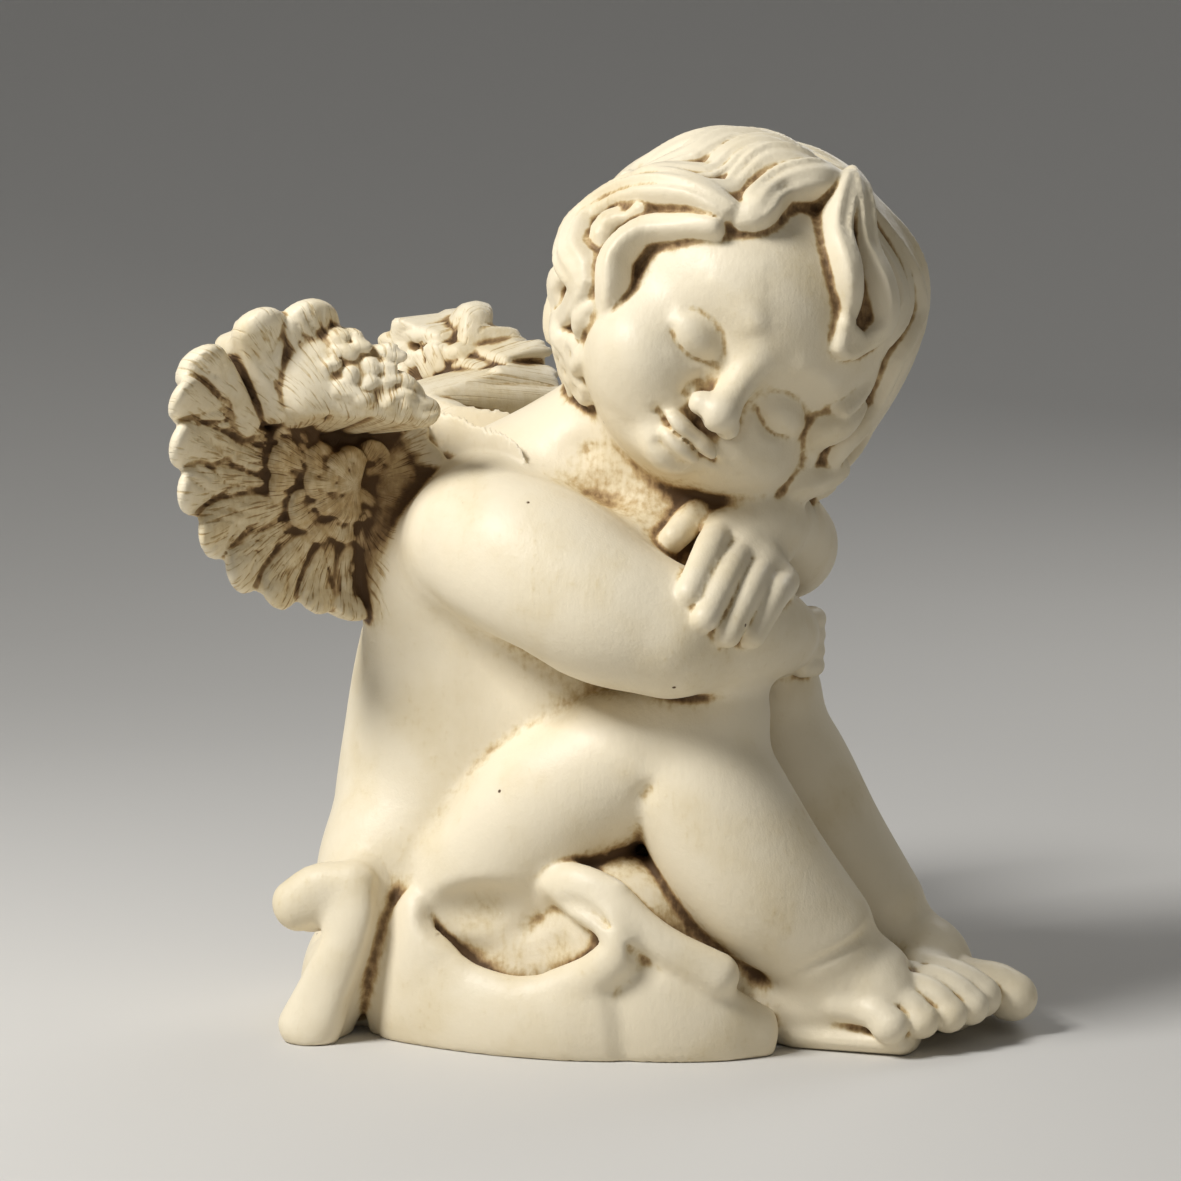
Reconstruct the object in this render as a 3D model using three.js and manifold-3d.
// A seated cherub, cast in one piece: the figure, its two wings and the rumpled cloth it sits on.
// It faces -Y with its right side towards -X. +Z is up. The origin is on the ground under its seat.
import * as THREE from "three";
import { mergeVertices } from "three/addons/utils/BufferGeometryUtils.js";
import Module from "manifold-3d";

const wasm = await Module();
wasm.setup();

// Driving dimensions, in millimetres
const headCentre = [-3, -44, 221];
const skull = { halfWidth: 48, halfDepth: 52, halfHeight: 50 };
const skullMiddle = [0, 2, 4]; // from the head's centre
const capHalf = [53, 52, 50];
const headTurn = 50; // degrees from straight ahead towards the right shoulder
const headTilt = 40; // degrees that the crown leans towards the left knee
const headNod = 20; // degrees that the face looks down
const hairDepth = 9;
const limbRadius = { shoulder: 22, elbow: 20, wrist: 13, hip: 33, knee: 22, calf: 25, ankle: 17 };
const knee = { right: [-28, -41, 97], left: [22, -47, 99] };
const ankle = { right: [-20, -85, 30], left: [18, -98, 31] };
const shoulder = { right: [-45, 18, 156], left: [45, 12, 156] };
const elbow = { right: [-52, -42, 131], left: [42, -47, 149] };
const wrist = { right: [-12, -64, 127], left: [8, -61, 157] };
const fingerRadius = 4.6;
const thumbRadius = 5.2;
const toeRadius = 5.2;
const hip = { right: [-27, 34, 40], left: [27, 32, 40] };
const wingRoot = { x: 24, y: 53, z: 160 };
const wingSweep = 45; // degrees from straight back towards the side
const featherHalfWidth = 10;
const featherHalfThickness = 3.4;
const covertLift = 6;
const dishCentre = [44, 20, 4];
const dishHalf = 34;
const dishHalfThickness = 7;
const baseHalf = { x: 57, y: 71, z: 30 };
const baseCentre = [2, 14];
const hemRadius = 7;
const groundBlock = 600;
const smallestStep = 0.7; // slivers finer than this are merged

const castStone = new THREE.MeshStandardMaterial({ color: 0xe9dcc0, roughness: 0.55, metalness: 0 });

const point = (p) => new THREE.Vector3(...p);
const degrees = (a) => THREE.MathUtils.degToRad(a);

// The value at share s (0 to 1) of a list of evenly spaced values.
function between(values, s) {
  const at = s * (values.length - 1);
  const i = Math.min(Math.floor(at), values.length - 2);
  const t = at - i;
  const ease = t * t * (3 - 2 * t);
  return values[i] + (values[i + 1] - values[i]) * ease;
}

// A closed three.js geometry as a solid that can be joined and cut.
function solid(geometry) {
  const bare = geometry.clone();
  bare.deleteAttribute("normal");
  bare.deleteAttribute("uv");
  const merged = mergeVertices(bare, 1e-4);
  return new wasm.Manifold(
    new wasm.Mesh({
      numProp: 3,
      vertProperties: new Float32Array(merged.attributes.position.array),
      triVerts: new Uint32Array(merged.index.array),
    }),
  );
}

// A geometry that a mirroring basis has turned inside out is turned back.
function outwards(geometry, side) {
  if (side > 0) return solid(geometry);
  const index = geometry.index;
  for (let i = 0; i < index.count; i += 3) {
    const [b, c] = [index.getX(i + 1), index.getX(i + 2)];
    index.setX(i + 1, c);
    index.setX(i + 2, b);
  }
  return solid(geometry);
}

const fuse = (solids) => solids.reduce((whole, piece) => whole.add(piece));

// The largest body of a solid, with no sealed hollow inside it.
const outermost = (made) => made.decompose().reduce((a, b) => (a.volume() > b.volume() ? a : b));

// A round-ended form that follows a curve: a sphere whose rings are carried along the path.
// wide is its half-width to the side, thick its half-width towards up, both from start to end.
function sweep({ path, wide, thick = wide, up = [0, 0, 1], sides = 12, rings = 9, blunt = 2.6 }) {
  const curve = new THREE.CatmullRomCurve3(path.map(point));
  const ball = new THREE.SphereGeometry(1, sides, rings);
  const at = ball.attributes.position;
  const upward = point(up);
  const v = new THREE.Vector3();
  for (let i = 0; i < at.count; i++) {
    v.fromBufferAttribute(at, i);
    const s = THREE.MathUtils.clamp((1 - v.y) / 2, 0, 1);
    const centre = curve.getPoint(s);
    const along = curve.getTangent(s);
    const side = new THREE.Vector3().crossVectors(upward, along).normalize();
    const top = new THREE.Vector3().crossVectors(along, side);
    const ring = Math.hypot(v.x, v.z);
    const reach = ring < 1e-6 ? 0 : Math.pow(1 - Math.pow(Math.abs(v.y), blunt), 1 / blunt) / ring;
    centre.addScaledVector(side, v.x * reach * between(wide, s));
    centre.addScaledVector(top, v.z * reach * between(thick, s));
    at.setXYZ(i, centre.x, centre.y, centre.z);
  }
  return solid(ball);
}

// An ellipsoid with its half sizes along X, Y and Z.
function ball(centre, half, sides = 16, rings = 12) {
  const made = new THREE.SphereGeometry(1, sides, rings);
  made.rotateX(Math.PI / 2);
  made.scale(...half);
  made.translate(...centre);
  return solid(made);
}

// The trunk, from the seat up the bent back to the neck, with the belly against the thighs.
function trunk() {
  return [
    sweep({
      path: [
        [0, 43, 0], [0, 42, 48], [0, 34, 88], [0, 28, 120], [0, 22, 150], [-2, -2, 172], [-4, -22, 188],
      ],
      wide: [44, 52, 49, 47, 45, 34, 25],
      thick: [40, 46, 50, 48, 41, 28, 22],
      up: [0, 1, 0],
      sides: 14,
      rings: 10,
      blunt: 3,
    }),
    ball([0, 27, 152], [52, 26, 26], 10, 7),
    ball([0, -2, 108], [38, 34, 30], 8, 6),
    ball([-3, -28, 147], [40, 27, 24], 8, 6),
  ];
}

function arm(joints, wide) {
  return sweep({ path: joints, wide, rings: 8, sides: 10, blunt: 3 });
}

function arms() {
  const r = limbRadius;
  const [right, left] = [elbow.right, elbow.left];
  return [
    arm([shoulder.right, [-51, 0, 149], [-55, -22, 138], right], [24, 24, r.shoulder, r.elbow - 1]),
    arm([[-54, -32, 133], right, [-32, -57, 129], wrist.right, [2, -64, 125]], [17, 19, 17, 14, 12]),
    arm([shoulder.left, [52, -6, 152], [50, -28, 150], left], [23, r.shoulder, r.elbow, 18]),
    arm([[44, -40, 149], left, [27, -57, 151], wrist.left, [-4, -61, 161]], [16, 18, 17, 14, 12]),
  ];
}

// A finger or toe from its root to its tip.
function digit(root, bend, tip, radius) {
  const wide = [radius, radius, radius * 0.85];
  return sweep({ path: [root, bend, tip], wide, sides: 6, rings: 4, blunt: 4 });
}

// The left hand lies over the right forearm, the right one is a small fist under it.
function hands() {
  const r = fingerRadius;
  const knuckles = [[-24, -51, 159], [-24, -58, 154], [-23, -64, 149], [-21, -69, 144]];
  const tips = [[-48, -47, 142], [-50, -52, 136], [-49, -58, 131], [-44, -64, 129]];
  const leftFingers = knuckles.map((root, i) => {
    const [x, y, z] = root.map((value, k) => (value + tips[i][k]) / 2);
    return digit(root, [x - 3, y - 1, z + 3], tips[i], r);
  });
  const rightFingers = [0, 1, 2].map((i) => {
    const z = 127 - i * 6;
    return digit([0, -67, z], [8, -70, z - 1], [13, -65, z - 2], r);
  });
  return [
    ball([-15, -58, 160], [15, 14, 12], 10, 7),
    digit([-14, -50, 166], [-26, -44, 164], [-36, -37, 158], thumbRadius),
    ball([4, -61, 122], [11, 11, 11], 8, 7),
    ...leftFingers,
    ...rightFingers,
  ];
}

function leg(hipAt, kneeAt, ankleAt) {
  const r = limbRadius;
  const mix = (a, b, t) => a.map((value, i) => value + (b[i] - value) * t);
  const thighPath = [-0.2, 0, 0.45, 1, 1.12].map((share) => mix(hipAt, kneeAt, share));
  const calfPath = [-0.2, 0.4, 0.75, 1.15].map((share) => mix(kneeAt, ankleAt, share));
  const thighWide = [r.hip - 6, r.hip - 2, r.hip - 4, r.knee + 1, r.knee - 2];
  const calfWide = [r.knee - 3, r.calf, r.calf - 3, r.ankle];
  return [
    sweep({ path: thighPath, wide: thighWide, sides: 12, rings: 8, blunt: 3 }),
    sweep({ path: calfPath, wide: calfWide, up: [0, 1, 0], sides: 12, rings: 8, blunt: 3 }),
  ];
}

// A foot flat on the ground. toes lists each toe's tip, from the big toe to the little one.
function foot(heel, instep, ballAt, toes) {
  const body = sweep({
    path: [heel, instep, ballAt],
    wide: [15, 18, 19],
    thick: [15, 18, 12],
    sides: 10,
    rings: 7,
    blunt: 3,
  });
  const digits = toes.map(([x, y, z, size]) =>
    digit([x * 0.6 + ballAt[0] * 0.4, y + 24, z + 6], [x, y + 11, z + 2], [x, y, z], toeRadius * size),
  );
  return [body, ...digits];
}

function legsAndFeet() {
  return [
    ...leg(hip.right, knee.right, ankle.right),
    ...leg(hip.left, knee.left, ankle.left),
    ...foot([-17, -62, 13], [-15, -90, 19], [-13, -122, 11], [
      [1, -134, 10, 1.35], [-9, -136, 8, 1], [-17, -133, 8, 1], [-24, -128, 8, 1], [-30, -122, 8, 1],
    ]),
    ...foot([20, -70, 13], [20, -98, 18], [21, -126, 11], [
      [14, -142, 9, 1.45], [24, -142, 8, 1], [31, -139, 8, 1], [37, -134, 8, 1], [42, -128, 8, 1],
    ]),
  ];
}

// The turn and place of the head: its face looks along its own -Y, its crown along +Z.
function headPose() {
  const turn = new THREE.Matrix4().makeRotationZ(-degrees(headTurn));
  const lean = new THREE.Matrix4().makeRotationY(degrees(headTilt));
  const nod = new THREE.Matrix4().makeRotationX(degrees(headNod));
  return turn.multiply(lean).multiply(nod).setPosition(...headCentre);
}

function headShapes() {
  const s = skull;
  return [
    ball(skullMiddle, [s.halfWidth, s.halfDepth, s.halfHeight], 14, 10),
    ball([0, -18, -20], [36, 30, 30], 12, 8),
    ...[-1, 1].flatMap((side) => [
      ball([side * 20, -30, -18], [17, 16, 18], 7, 5),
      ball([side * 19, -43, -1], [10, 6, 6], 7, 5),
    ]),
    ball([0, -38, -40], [12, 10, 9], 7, 5),
    ball([0, -48, -14], [6, 7, 6], 7, 5),
    sweep({ path: [[0, -46, 2], [0, -51, -10], [0, -52, -15]], wide: [4, 4, 5], sides: 6, rings: 5 }),
    ball([0, -47, -28], [9, 5, 4], 7, 5),
  ];
}

// A point on the head's hair. round is the angle from the face towards the left ear, and rise the angle
// above the ears.
function onHair(round, rise, lift = 0) {
  const s = skull;
  const [a, e] = [degrees(round), degrees(rise)];
  return [
    skullMiddle[0] + (s.halfWidth + lift) * Math.sin(a) * Math.cos(e),
    skullMiddle[1] - (s.halfDepth + lift) * Math.cos(a) * Math.cos(e),
    skullMiddle[2] + (s.halfHeight + lift) * Math.sin(e),
  ];
}

// A lock of hair that waves from rise to fall (degrees) beside the angle round, and curls up at its end.
function lock(round, rise, fall, wave, width) {
  const steps = 5;
  const path = [];
  for (let k = 0; k < steps; k++) {
    const t = k / (steps - 1);
    const across = round + wave * Math.sin(t * Math.PI * 2);
    path.push(onHair(across, rise + (fall - rise) * t, hairDepth - 6 + 4 * t));
  }
  const out = onHair(round, (rise + fall) / 2).map((value, j) => value - skullMiddle[j]);
  const wide = [width * 0.7, width, width, width * 0.8];
  return sweep({ path, wide, thick: [4, 7, 8, 6], up: out, sides: 5, rings: 6 });
}

// The hair: a cap, a ring of long locks that fall from the parting, and rows of curls down the nape.
function hair() {
  const cap = ball(skullMiddle.map((value, j) => value + [0, 7, 5][j]), capHalf, 12, 8);
  const locks = [];
  const longLocks = 12;
  for (let i = 0; i < longLocks; i++) {
    const round = 48 + (i * 264) / (longLocks - 1);
    locks.push(lock(round, 62, -22 - (i % 2) * 8, i % 2 ? 9 : -9, 12));
  }
  const rows = [
    { rise: -26, from: 80, to: 280, count: 8, size: 12 },
    { rise: -48, from: 110, to: 275, count: 6, size: 14 },
  ];
  for (const row of rows) {
    for (let i = 0; i < row.count; i++) {
      const round = row.from + (i * (row.to - row.from)) / (row.count - 1);
      const place = onHair(round, row.rise - (i % 2) * 7, hairDepth - 5);
      locks.push(ball(place, [row.size, row.size, row.size], 6, 5));
    }
  }
  const fringe = 5;
  for (let i = 0; i < fringe; i++) {
    locks.push(lock(-42 + (i * 84) / (fringe - 1), 88, 42, i % 2 ? 7 : -7, 10));
  }
  return [cap, ...locks];
}

// Wing points: out runs along the wing, rise up, and fold forward from it. side is -1 for the right wing.
function wingPoint(side, [out, rise, fold]) {
  const a = degrees(wingSweep);
  const x = wingRoot.x + out * Math.sin(a) + fold * Math.cos(a);
  const y = wingRoot.y + out * Math.cos(a) - fold * Math.sin(a);
  return [side * x, y, wingRoot.z + rise];
}

function wing(side) {
  const at = (p) => wingPoint(side, p);
  const a = degrees(wingSweep);
  const facing = [side * Math.cos(a), -Math.sin(a), 0];
  const heart = [22, 16];
  const tips = [
    [18, -31, 1], [31, -30, 5], [50, -25, 10], [68, -18, 15], [83, -2, 18], [92, 14, 20],
    [94, 30, 20], [91, 45, 21], [80, 59, 23], [66, 70, 26], [51, 73, 30],
  ];
  const feather = (path, wide, thick) =>
    sweep({ path: path.map(at), wide, thick, up: facing, sides: 6, rings: 5, blunt: 3.6 });
  const raised = ([out, rise, fold]) => [out, rise, fold + covertLift];
  const toHeart = ([out, rise, fold], share) => [
    out + (heart[0] - out) * share,
    rise + (heart[1] - rise) * share,
    fold * (1 - share) * (1 - share),
  ];
  const feathers = tips.map((tip) =>
    feather(
      [toHeart(tip, 0.62), toHeart(tip, 0.3), tip],
      [7, featherHalfWidth, featherHalfWidth - 1],
      [featherHalfThickness, featherHalfThickness, featherHalfThickness],
    ),
  );
  const coverts = tips
    .filter((tip, i) => i % 2)
    .map((tip) => feather([toHeart(tip, 0.8), toHeart(tip, 0.46)].map(raised), [8, 13], [4, 4]));
  const dish = new THREE.SphereGeometry(1, 14, 8);
  dish.scale(dishHalf, dishHalf, dishHalfThickness);
  const basis = new THREE.Matrix4().makeBasis(
    new THREE.Vector3(side * Math.sin(a), Math.cos(a), 0),
    new THREE.Vector3(0, 0, 1),
    new THREE.Vector3(side * Math.cos(a), -Math.sin(a), 0),
  );
  dish.applyMatrix4(basis.setPosition(...at(dishCentre)));
  const plate = (path, wide, thick) =>
    sweep({ path: path.map(at), wide, thick, up: facing, sides: 8, rings: 6, blunt: 3 });
  const hood = [
    plate([[58, 62, 22], [42, 59, 28], [27, 50, 35], [12, 32, 43]], [8, 11, 13, 8], [6, 8, 9, 8]),
    plate([[50, 58, 8], [36, 56, 18], [22, 44, 26], [10, 26, 30]], [10, 13, 14, 8], [7, 9, 9, 8]),
  ];
  const back = plate([[58, 52, 10], [38, 44, 7], [18, 26, 4], [0, 2, 0]], [14, 20, 22, 14], [6, 9, 11, 10]);
  const wall = plate([[6, 6, 0], [12, 26, 10], [18, 42, 24]], [14, 15, 11], [8, 8, 7]);
  const root = sweep({ path: [[side * 14, 40, 156], at([0, 0, 0]), at([14, 10, 2])],
    wide: [14, 15, 12], thick: [13, 11, 8], sides: 8, rings: 6 });
  return [outwards(dish, side), ...feathers, ...coverts, ...hood, wall, back, root];
}

// The low mound of cloth under the figure.
function mound() {
  const [x, y] = baseCentre;
  const profile = [[0, -0.4], [1, -0.4], [1, 0.35], [0.96, 0.7], [0.86, 0.95], [0.6, 1.08], [0, 1.1]];
  const lathe = new THREE.LatheGeometry(
    profile.map(([r, z]) => new THREE.Vector2(r, z)),
    24,
  );
  lathe.rotateX(Math.PI / 2);
  lathe.scale(baseHalf.x, baseHalf.y, baseHalf.z);
  lathe.translate(x, y, 0);
  return solid(lathe);
}

// The cloth's thick hem: an edge that waves up and down round the base, and two upright folds at the hip.
function cloth() {
  const h = hemRadius;
  const hem = (path, wide) => sweep({ path, wide, sides: 6, rings: 9, blunt: 3 });
  const fold = (path, wide, thick, up) =>
    sweep({ path, wide, thick, up, sides: 8, rings: 7, blunt: 3.4 });
  const nearPath = [
    [-48, 46, 48], [-53, 38, 36], [-56, 22, 24], [-57, 6, 18], [-55, -12, 22], [-50, -27, 34],
    [-46, -12, 44],
  ];
  const innerPath = [[-43, -5, 44], [-41, -15, 47], [-39, -27, 44], [-38, -40, 34], [-34, -56, 20]];
  const farPath = [
    [46, 62, 36], [54, 46, 26], [57, 26, 19], [57, 2, 18], [53, -20, 24], [44, -36, 18], [32, -52, 12],
  ];
  const backPath = [[-44, 68, 20], [-28, 82, 17], [-10, 87, 21], [10, 87, 16], [28, 80, 19], [46, 66, 18]];
  const topPath = [[-42, 52, 44], [-58, 60, 46], [-62, 70, 45], [-63, 80, 42]];
  const lowPath = [[-55, 52, 48], [-60, 57, 32], [-64, 64, 16], [-66, 74, 2]];
  const underKnees = ball([2, -40, 20], [38, 38, 44], 12, 8);
  return [
    hem(nearPath, [h - 2, h + 1, h + 1, h + 1, h + 1, h, h - 2]),
    hem(innerPath, [h - 1, h, h, h, h]),
    fold(topPath, [12, 12, 10, 8], [9, 9, 8, 7], [0, 0, 1]),
    fold(lowPath, [11, 11, 11, 10], [10, 10, 10, 10], [0, 1, 1]),
    hem(farPath, [h, h + 1, h + 1, h + 1, h + 1, h, h]),
    hem(backPath, [h, h, h, h, h, h]),
    underKnees,
  ];
}

function ground() {
  const block = new THREE.BoxGeometry(groundBlock, groundBlock, groundBlock);
  block.translate(0, 0, -groundBlock / 2);
  return solid(block);
}

function cast() {
  const pose = headPose();
  const head = fuse([...headShapes(), ...hair()]).transform([...pose.elements]);
  const figure = fuse([...trunk(), ...arms(), ...hands(), ...legsAndFeet(), head]);
  const whole = fuse([figure, ...wing(-1), ...wing(1), mound(), ...cloth()]);
  return outermost(whole.subtract(ground()).asOriginal().simplify(smallestStep));
}

function meshOf(made, name) {
  const { numProp, numVert, vertProperties, triVerts } = made.getMesh();
  const at = new Float32Array(numVert * 3);
  for (let i = 0; i < numVert; i++) at.set(vertProperties.subarray(i * numProp, i * numProp + 3), i * 3);
  const geometry = new THREE.BufferGeometry();
  geometry.setAttribute("position", new THREE.BufferAttribute(at, 3));
  geometry.setIndex(new THREE.BufferAttribute(triVerts, 1));
  geometry.computeVertexNormals();
  const mesh = new THREE.Mesh(geometry, castStone);
  mesh.name = name;
  return mesh;
}

const statue = new THREE.Group();
statue.add(meshOf(cast(), "cherub_statue"));

export default statue;
